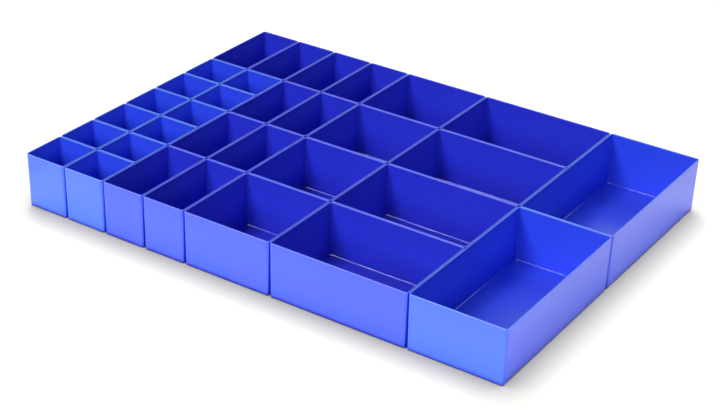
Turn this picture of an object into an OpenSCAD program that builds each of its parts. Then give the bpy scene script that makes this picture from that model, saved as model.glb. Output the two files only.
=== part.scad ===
// Set of loose drawer boxes: open-topped blue boxes in five footprints, packed side by side
// on one square module so that together they fill a rectangular drawer.
// The origin is at the middle of the set, on the surface it stands on.
// X runs along the long front edge, Y from front to back, Z up.

/* [Module] */
// Side of one cell of the grid that every footprint is a multiple of
module_pitch = 54; // [40:1:80]
// Height of every box, floor to rim
box_h = 63; // [40:1:110]
// Gap between the rims of two neighbouring boxes
rim_gap = 0.6; // [0.4:0.1:1.2]

/* [Moulding] */
// Thickness of the side walls
wall_t = 1.3; // [1:0.1:2]
// Thickness of the floor
floor_t = 1.5; // [1:0.1:2.5]
// How far each wall leans in from its rim to the underside
draft = 0.8; // [0.4:0.1:1.2]
// Outside radius of the upright corners, at the rim
corner_r = 3.2; // [2.8:0.1:6]
// Radius along the outside of the underside
foot_r = 1.8; // [0.8:0.1:3]
// Radius between the floor and the walls, inside
floor_fillet_r = 0.9; // [0.4:0.1:2]
// Radius that softens both edges of the rim
rim_edge_r = 0.3; // [0.1:0.05:0.45]

/* [Layout] */
// Rows of cells from front to back, which two or more long boxes fill
field_rows = 8; // [4:4:12]
// Columns of the smallest boxes, at the left, with one narrow box at the back of each
small_column_count = 2; // [1:1:3]
// Columns of narrow boxes beside them
narrow_column_count = 2; // [1:1:3]

/* [Hidden] */
$fn = 48;

// Footprints, in cells along X and along Y
SMALL = [1, 1];
NARROW = [1, 2];
SQUARE = [2, 2];
WIDE = [3, 2];
LONG = [2, 4];

// Where the columns of each kind of box begin, in cells from the left edge
narrow_x = small_column_count * SMALL.x;
square_x = narrow_x + narrow_column_count * NARROW.x;
wide_x = square_x + SQUARE.x;
long_x = wide_x + WIDE.x;
field_columns = long_x + LONG.x;
small_rows = field_rows - NARROW.y;

// The cells that the near left corners of a block of equal boxes stand in, column by column
function block(footprint, x, count, from, to) = [
    for (i = [0:count - 1], y = [from:footprint.y:to - footprint.y]) [x + i * footprint.x, y]];
SMALL_CELLS = block(SMALL, 0, small_column_count, 0, small_rows);
NARROW_CELLS = concat(
    block(NARROW, 0, small_column_count, small_rows, field_rows),
    block(NARROW, narrow_x, narrow_column_count, 0, field_rows));
SQUARE_CELLS = block(SQUARE, square_x, 1, 0, field_rows);
WIDE_CELLS = block(WIDE, wide_x, 1, 0, field_rows);
LONG_CELLS = block(LONG, long_x, 1, 0, field_rows);

// One node per box: small_box_01, small_box_02 and so on
function box_name(kind, i) = str(kind, "_box_", i < 9 ? "0" : "", i + 1);
function box_names(kind, places) = [for (i = [0:len(places) - 1]) box_name(kind, i)];

// The two shades of blue that the set is moulded in
LIGHT_BLUE = "#2B50E8";
DEEP_BLUE = "#2A2FC8";

// The least radius that is left where a fillet runs round a corner
least_r = 0.1;
// Steps in each rounded edge, and how far the cavity is cut past the rim
arc_steps = 4;
over_cut = 1;

// Outside radius of an upright corner at height z: it shrinks with the draft
function corner_at(z) = corner_r - draft * (1 - z / box_h);
// The foot and the floor's fillet are no larger than the corners that they run round
foot = min(foot_r, corner_at(0) - least_r);
fillet = min(floor_fillet_r, corner_at(floor_t) - wall_t - least_r);

// A quarter round from angle from to angle to, about [x, z]
function arc(x, z, r, from, to) =
    [for (i = [0:arc_steps]) let (t = from + (to - from) * i / arc_steps) [x + r * cos(t), z + r * sin(t)]];

// Half sections, as distances out from the corner's upright axis and heights
outside_section = concat(
    arc(corner_at(foot) - foot, foot, foot, 270, 360),
    arc(corner_r - rim_edge_r, box_h - rim_edge_r, rim_edge_r, 0, 90));
cavity_section = concat(
    arc(corner_at(floor_t + fillet) - wall_t - fillet, floor_t + fillet, fillet, 270, 360),
    arc(corner_r - wall_t + rim_edge_r, box_h - rim_edge_r, rim_edge_r, 180, 90),
    [[corner_r - wall_t + rim_edge_r, box_h + over_cut]]);

// A slab of the given length along Y, whose two long faces follow the section at half_w from the middle
module slab(half_w, length, section) {
    right = [for (p = section) [half_w + p[0], p[1]]];
    left = [for (i = [len(section) - 1:-1:0]) [-half_w - section[i][0], section[i][1]]];
    rotate([90, 0, 0]) linear_extrude(height = length, center = true) polygon(concat(right, left));
}

// One upright corner, a quarter turn of the section about the corner's axis
module corner(section) {
    top = section[len(section) - 1][1];
    rotate_extrude(angle = 90) polygon(concat([[0, section[0][1]]], section, [[0, top]]));
}

// A rectangle with round corners that follows the section all the way round.
// half_x and half_y run from the middle to the corners' axes.
module rounded_solid(half_x, half_y, section) {
    slab(half_x, 2 * half_y, section);
    rotate(90) slab(half_y, 2 * half_x, section);
    for (i = [0:3])
        translate([(i == 1 || i == 2) ? -half_x : half_x, i > 1 ? -half_y : half_y, 0])
            rotate(90 * i) corner(section);
}

// A moulded box of the given footprint, standing on its cells
module moulded_box(footprint, cell) {
    half_x = (footprint.x * module_pitch - rim_gap) / 2 - corner_r;
    half_y = (footprint.y * module_pitch - rim_gap) / 2 - corner_r;
    centre = (cell + footprint / 2 - [field_columns, field_rows] / 2) * module_pitch;
    translate([centre.x, centre.y, 0]) difference() {
        rounded_solid(half_x, half_y, outside_section);
        rounded_solid(half_x, half_y, cavity_section);
    }
}

module small_box(cell) {
    color(LIGHT_BLUE) moulded_box(SMALL, cell);
}

module narrow_box(cell) {
    color(DEEP_BLUE) moulded_box(NARROW, cell);
}

module square_box(cell) {
    color(DEEP_BLUE) moulded_box(SQUARE, cell);
}

module wide_box(cell) {
    color(DEEP_BLUE) moulded_box(WIDE, cell);
}

module long_box(cell) {
    color(LIGHT_BLUE) moulded_box(LONG, cell);
}

for (i = [0:len(SMALL_CELLS) - 1])
    small_box(SMALL_CELLS[i]);
for (i = [0:len(NARROW_CELLS) - 1])
    narrow_box(NARROW_CELLS[i]);
for (i = [0:len(SQUARE_CELLS) - 1])
    square_box(SQUARE_CELLS[i]);
for (i = [0:len(WIDE_CELLS) - 1])
    wide_box(WIDE_CELLS[i]);
for (i = [0:len(LONG_CELLS) - 1])
    long_box(LONG_CELLS[i]);
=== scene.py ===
"""Loose drawer boxes in injection-moulded polystyrene, on a white table in soft studio light."""
import math

import bmesh
import bpy
from mathutils import Matrix, Vector


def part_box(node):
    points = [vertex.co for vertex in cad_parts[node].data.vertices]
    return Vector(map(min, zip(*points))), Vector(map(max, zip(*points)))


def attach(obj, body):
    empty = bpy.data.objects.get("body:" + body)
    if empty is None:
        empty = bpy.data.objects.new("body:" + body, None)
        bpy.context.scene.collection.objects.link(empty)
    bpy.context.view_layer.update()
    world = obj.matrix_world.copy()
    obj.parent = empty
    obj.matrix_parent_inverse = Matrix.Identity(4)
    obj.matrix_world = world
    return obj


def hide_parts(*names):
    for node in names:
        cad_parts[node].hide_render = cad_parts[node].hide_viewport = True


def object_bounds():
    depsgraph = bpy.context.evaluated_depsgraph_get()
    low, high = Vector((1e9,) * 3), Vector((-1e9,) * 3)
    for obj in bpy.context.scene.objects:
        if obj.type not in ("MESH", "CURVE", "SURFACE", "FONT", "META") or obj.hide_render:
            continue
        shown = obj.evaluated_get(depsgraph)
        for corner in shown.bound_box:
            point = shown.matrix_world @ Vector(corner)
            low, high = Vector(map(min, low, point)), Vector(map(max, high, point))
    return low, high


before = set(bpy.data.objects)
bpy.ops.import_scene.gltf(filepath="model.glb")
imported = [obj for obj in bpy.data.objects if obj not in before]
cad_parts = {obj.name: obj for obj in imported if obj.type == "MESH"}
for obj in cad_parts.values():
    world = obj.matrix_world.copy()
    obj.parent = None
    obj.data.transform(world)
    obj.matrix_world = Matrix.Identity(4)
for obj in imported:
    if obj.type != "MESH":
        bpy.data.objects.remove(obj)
cad_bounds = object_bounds()

MM = 0.001

# The moulding, as the design has it
WALL = 1.3 * MM
FLOOR = 1.5 * MM
DRAFT = 0.8 * MM
CORNER_R = 3.2 * MM
FOOT_R = 1.8 * MM
FILLET_R = 1.0 * MM
RIM_R = 0.4 * MM

# Steps in the round edges
CORNER_STEPS = 8
FOOT_STEPS = 5
FILLET_STEPS = 4
RIM_STEPS = 3

# How near to a height a point lies at it, and how far up a face looks if it is flat or upright
LEVEL = 0.01 * MM
FLAT = 0.9
UPRIGHT = 0.5

# The plastic: real sizes of its patterns, and how glossy it is
FLOW_SIZE = 45 * MM
PEEL_SIZE = 1.6 * MM
PEEL_DEPTH = 0.02 * MM
PEEL_STRENGTH = 0.15
GLOSSY = 0.16
SATIN = 0.22
RIM_ROUGHNESS = 0.45
# How far down from the top the rim is painted paler: a painted highlight for the light on the rim
PAINTED_RIM_HIGHLIGHT_DEPTH = 1.2 * MM
POLYSTYRENE_IOR = 1.59

# Sockets of a Mix node, which has its own for colours and for numbers
COLOUR_A, COLOUR_B, COLOUR_OUT = 6, 7, 2
NUMBER_A, NUMBER_B, NUMBER_OUT = 2, 3, 0

# The table's half width, and how high above it the lights that stand for its brightness lie
TABLE_REACH = 6.0
GLOW_HEIGHT = 1 * MM

# The camera: where it looks, how far off it stands, and how it is turned
AIM = Vector((0.0257, -0.0493, 0.030))
DISTANCE = 1.806
AZIMUTH = math.radians(32.67)
ELEVATION = math.radians(28.44)
ROLL = math.radians(1.985)
LENS = 84.61
SENSOR_WIDTH = 36
CLIP_END = 50

CENTRE = (0.0, 0.0, 0.0)
WHITE = (1.0, 1.0, 1.0)
# The blue that the boxes give to the light off the table, at the front and at the right
FRONT_TINT = (0.45, 1.0, 1.0)
RIGHT_TINT = (0.25, 0.35, 1.0)
# The lilac of the bright lines along the fillets
LILAC = (0.85, 0.8, 1.0)

# Kinds of box that come in the lighter shade; the others come in the deeper one
LIGHT_KINDS = ("small", "long")


def linear(hex_colour):
    """The linear RGBA of an sRGB hex value."""
    parts = [int(hex_colour[i:i + 2], 16) / 255 for i in (1, 3, 5)]
    return [p / 12.92 if p <= 0.04045 else ((p + 0.055) / 1.055) ** 2.4 for p in parts] + [1.0]


def add(tree, kind, settings=None, inputs=None, links=None):
    """Adds a node: its settings, the values of its inputs, and links from other nodes' outputs."""
    node = tree.nodes.new(kind)
    for name, value in (settings or {}).items():
        setattr(node, name, value)
    for name, value in (inputs or {}).items():
        node.inputs[name].default_value = value
    for name, output in (links or {}).items():
        tree.links.new(output, node.inputs[name])
    return node


# ---------------------------------------------------------------- the moulded boxes

def bevel(mesh, edges, radius, steps):
    bmesh.ops.bevel(mesh, geom=edges, offset=radius, offset_type="OFFSET", affect="EDGES",
                    segments=steps, profile=0.5, material=-1)


def lean_in(vertices, low, high, reach):
    """Moves vertices in by reach, square to the outline, which keeps its corners round."""
    for v in vertices:
        axis = Vector((min(max(v.co.x, low.x + CORNER_R), high.x - CORNER_R),
                       min(max(v.co.y, low.y + CORNER_R), high.y - CORNER_R), v.co.z))
        v.co -= (v.co - axis).normalized() * reach


def level_face(mesh, height, up):
    """The largest flat face at a height that looks up (1) or down (-1)."""
    faces = [f for f in mesh.faces
             if abs(f.calc_center_median().z - height) < LEVEL and f.normal.z * up > FLAT]
    return max(faces, key=lambda f: f.calc_area())


def moulded_box(name):
    """One box in the place of its CAD node: drafted walls, round corners, a filleted floor
    and a soft rim."""
    low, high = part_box(name)
    mesh = bmesh.new()
    bmesh.ops.create_cube(mesh, size=1.0)
    bmesh.ops.scale(mesh, vec=high - low, verts=mesh.verts)
    bmesh.ops.translate(mesh, vec=(high + low) / 2, verts=mesh.verts)

    upright = [e for e in mesh.edges if abs(e.verts[0].co.z - e.verts[1].co.z) > MM]
    bevel(mesh, upright, CORNER_R, CORNER_STEPS)
    mesh.normal_update()
    lean_in(level_face(mesh, low.z, -1).verts, low, high, DRAFT)

    mouth = level_face(mesh, high.z, 1)
    bmesh.ops.inset_region(mesh, faces=[mouth], thickness=WALL, use_even_offset=True)
    cut = bmesh.ops.extrude_face_region(mesh, geom=[mouth])
    floor_vertices = [v for v in cut["geom"] if isinstance(v, bmesh.types.BMVert)]
    if mouth.is_valid:
        bmesh.ops.delete(mesh, geom=[mouth], context="FACES_ONLY")
    depth = high.z - low.z - FLOOR
    bmesh.ops.translate(mesh, vec=(0, 0, -depth), verts=floor_vertices)
    lean_in(floor_vertices, low, high, DRAFT * depth / (high.z - low.z))
    mesh.normal_update()

    rim = [e for e in mesh.edges
           if all(abs(v.co.z - high.z) < LEVEL for v in e.verts)
           and any(abs(f.normal.z) < UPRIGHT for f in e.link_faces)]
    bevel(mesh, rim, RIM_R, RIM_STEPS)
    mesh.normal_update()
    bevel(mesh, list(level_face(mesh, low.z, -1).edges), FOOT_R, FOOT_STEPS)
    mesh.normal_update()
    bevel(mesh, list(level_face(mesh, low.z + FLOOR, 1).edges), FILLET_R, FILLET_STEPS)

    data = bpy.data.meshes.new(name + "_moulding")
    for face in mesh.faces:
        face.smooth = True
    mesh.to_mesh(data)
    mesh.free()
    piece = bpy.data.objects.new(name + "_moulding", data)
    bpy.context.scene.collection.objects.link(piece)
    # The flat walls keep flat shading, and the round edges turn between them
    flat_walls = piece.modifiers.new("flat_walls", "WEIGHTED_NORMAL")
    flat_walls.weight = 100
    return piece


# ---------------------------------------------------------------- materials

def polystyrene(name, shade, deep_shade, painted_rim_highlight, rim_height):
    """Injection-moulded high-impact polystyrene: a clean satin blue, even in colour, with the
    slight orange peel of a polished mould and a very soft cloudiness where the melt flowed.
    The top of the rim is painted a paler blue, a painted highlight that stands in for the light
    falling on the rim."""
    material = bpy.data.materials.new(name)
    material.use_nodes = True
    tree = material.node_tree
    tree.nodes.clear()
    place = add(tree, "ShaderNodeTexCoord")
    flow = add(tree, "ShaderNodeTexNoise", inputs={"Scale": 1 / FLOW_SIZE, "Detail": 2.0},
               links={"Vector": place.outputs["Object"]})
    body = add(tree, "ShaderNodeMix", {"data_type": "RGBA"},
               links={"Factor": flow.outputs["Fac"]})
    body.inputs[COLOUR_A].default_value = linear(shade)
    body.inputs[COLOUR_B].default_value = linear(deep_shade)
    apart = add(tree, "ShaderNodeSeparateXYZ", links={"Vector": place.outputs["Object"]})
    # Near the top of the wall the colour goes paler, a painted highlight, and the plastic rougher
    near_rim = add(tree, "ShaderNodeMapRange",
                   inputs={"From Min": rim_height - PAINTED_RIM_HIGHLIGHT_DEPTH, "From Max": rim_height},
                   links={"Value": apart.outputs["Z"]})
    # Painted highlight: the rim's colour is mixed towards a paler blue that stands in for light
    colour = add(tree, "ShaderNodeMix", {"data_type": "RGBA"},
                 links={"Factor": near_rim.outputs["Result"]})
    colour.inputs[COLOUR_B].default_value = linear(painted_rim_highlight)
    tree.links.new(body.outputs[COLOUR_OUT], colour.inputs[COLOUR_A])
    peel = add(tree, "ShaderNodeTexNoise", inputs={"Scale": 1 / PEEL_SIZE, "Detail": 2.0},
               links={"Vector": place.outputs["Object"]})
    bump = add(tree, "ShaderNodeBump",
               inputs={"Strength": PEEL_STRENGTH, "Distance": PEEL_DEPTH},
               links={"Height": peel.outputs["Fac"]})
    gloss = add(tree, "ShaderNodeMapRange", inputs={"To Min": GLOSSY, "To Max": SATIN},
                links={"Value": flow.outputs["Fac"]})
    dull_rim = add(tree, "ShaderNodeMix", {"data_type": "FLOAT"},
                   links={"Factor": near_rim.outputs["Result"]})
    dull_rim.inputs[NUMBER_B].default_value = RIM_ROUGHNESS
    tree.links.new(gloss.outputs["Result"], dull_rim.inputs[NUMBER_A])
    shader = add(tree, "ShaderNodeBsdfPrincipled", inputs={"IOR": POLYSTYRENE_IOR},
                 links={"Base Color": colour.outputs[COLOUR_OUT],
                        "Roughness": dull_rim.outputs[NUMBER_OUT],
                        "Normal": bump.outputs["Normal"]})
    add(tree, "ShaderNodeOutputMaterial", links={"Surface": shader.outputs["BSDF"]})
    return material


# ---------------------------------------------------------------- the studio

def white_table():
    """A pale table, which its own two lights bring close to pure white."""
    mesh = bmesh.new()
    bmesh.ops.create_grid(mesh, x_segments=1, y_segments=1, size=TABLE_REACH)
    data = bpy.data.meshes.new("table")
    mesh.to_mesh(data)
    mesh.free()
    table = bpy.data.objects.new("table", data)
    bpy.context.scene.collection.objects.link(table)
    material = bpy.data.materials.new("matt_white_laminate")
    material.use_nodes = True
    shader = material.node_tree.nodes["Principled BSDF"]
    shader.inputs["Base Color"].default_value = linear("#7C7B78")
    shader.inputs["Roughness"].default_value = 0.9
    shader.inputs["Specular IOR Level"].default_value = 0.2
    data.materials.append(material)
    return table


def soft_light(name, at, towards, width, depth, power, lit, tint=WHITE, shine_only=False):
    """A soft rectangular light, which lights one collection of objects and nothing else.
    One that is shine_only shows in the gloss alone and casts no shadow."""
    data = bpy.data.lights.new(name, "AREA")
    data.shape = "RECTANGLE"
    data.size = width
    data.size_y = depth
    data.energy = power
    data.color = tint
    light = bpy.data.objects.new(name, data)
    light.location = at
    light.rotation_euler = (Vector(towards) - Vector(at)).to_track_quat("-Z", "Y").to_euler()
    light.visible_camera = False
    light.visible_diffuse = not shine_only
    data.use_shadow = not shine_only
    light.light_linking.receiver_collection = lit
    bpy.context.scene.collection.objects.link(light)


def table_glow(name, x, y, width, depth, power, lit, tint):
    """A soft light that lies just above the table and shines straight up."""
    soft_light(name, (x, y, GLOW_HEIGHT), (x, y, 1.0), width, depth, power, lit, tint)


def surroundings():
    """A white room that is only looked at: the lighting is left to the lights."""
    world = bpy.data.worlds.new("studio")
    world.use_nodes = True
    room = world.node_tree.nodes["Background"]
    room.inputs["Color"].default_value = (1, 1, 1, 1)
    room.inputs["Strength"].default_value = 1.0
    world.cycles_visibility.diffuse = False
    world.cycles_visibility.glossy = False
    bpy.context.scene.world = world


def camera():
    data = bpy.data.cameras.new("camera")
    data.lens = LENS
    data.sensor_width = SENSOR_WIDTH
    data.clip_end = CLIP_END
    back = Vector((math.sin(AZIMUTH) * math.cos(ELEVATION),
                   -math.cos(AZIMUTH) * math.cos(ELEVATION), math.sin(ELEVATION)))
    view = bpy.data.objects.new("camera", data)
    turn = (-back).to_track_quat("-Z", "Y").to_matrix() @ Matrix.Rotation(ROLL, 3, "Z")
    view.matrix_world = Matrix.Translation(AIM + back * DISTANCE) @ turn.to_4x4()
    bpy.context.scene.collection.objects.link(view)
    bpy.context.scene.camera = view


camera()
surroundings()
# What each light may reach: the table alone, or the boxes, which join their group as they are made
table_only = bpy.data.collections.new("table_only")
table_only.objects.link(white_table())
boxes = bpy.data.collections.new("boxes")

# Each light is given by its place, what it points at, its width and depth in metres, its power
# in watts, and what it lights.
# The table's own two keep it white and give it its soft shadow at the front and the right
soft_light("table_back_light", (-1.3, 1.6, 2.4), CENTRE, 2.4, 2.4, 147, table_only)
soft_light("table_top_light", (0.0, 0.0, 3.0), CENTRE, 3.0, 3.0, 590, table_only)
# The key light stands high at the front, a little to the left
soft_light("key_light", (-0.74, -2.04, 2.42), CENTRE, 0.8, 0.8, 42, boxes)
# Fill from the front, the right, the back and above, and a faint one from a backdrop
soft_light("front_light", (0.0, -2.8, 1.3), CENTRE, 1.0, 1.0, 42, boxes)
soft_light("right_light", (2.8, 0.0, 1.3), CENTRE, 1.0, 1.0, 14.5, boxes)
soft_light("back_light", (0.0, 2.3, 2.1), CENTRE, 1.5, 1.5, 38, boxes)
soft_light("backdrop_light", (-1.87, 2.96, 1.93), CENTRE, 2.0, 2.0, 2.6, boxes)
soft_light("high_light", (0.3, 0.2, 3.0), CENTRE, 1.0, 1.0, 4, boxes)
# Light up at the outer walls and their feet, as from a bright table top that the boxes tint blue
table_glow("front_glow", 0.0, -0.818, 2.4, 1.2, 5.6, boxes, FRONT_TINT)
table_glow("right_glow", 0.899, 0.0, 1.2, 2.4, 1.4, boxes, RIGHT_TINT)
table_glow("front_foot_glow", 0.02, -0.258, 0.72, 0.08, 0.12, boxes, FRONT_TINT)
table_glow("right_foot_glow", 0.339, -0.02, 0.08, 0.56, 0.04, boxes, RIGHT_TINT)
# A small light that only draws bright lines along the fillets and the edges
soft_light("fillet_shine", (-1.5, -1.6, 2.4), CENTRE, 0.7, 0.7, 75, boxes, LILAC, shine_only=True)
bpy.context.scene.view_settings.view_transform = "Standard"

rim_height = cad_bounds[1].z
# The last colour of each is the rim's painted highlight, paler than the walls
light_blue = polystyrene("light_blue_polystyrene", "#3753F2", "#3350EE", "#6090FF", rim_height)
deep_blue = polystyrene("deep_blue_polystyrene", "#313ADA", "#2D37D6", "#6276FF", rim_height)

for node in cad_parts:
    body = node  # each box is a body of its own, with its node's name
    light = node.split("_")[0] in LIGHT_KINDS
    piece = moulded_box(node)
    piece.data.materials.append(light_blue if light else deep_blue)
    boxes.objects.link(piece)
    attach(piece, body)
    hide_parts(node)
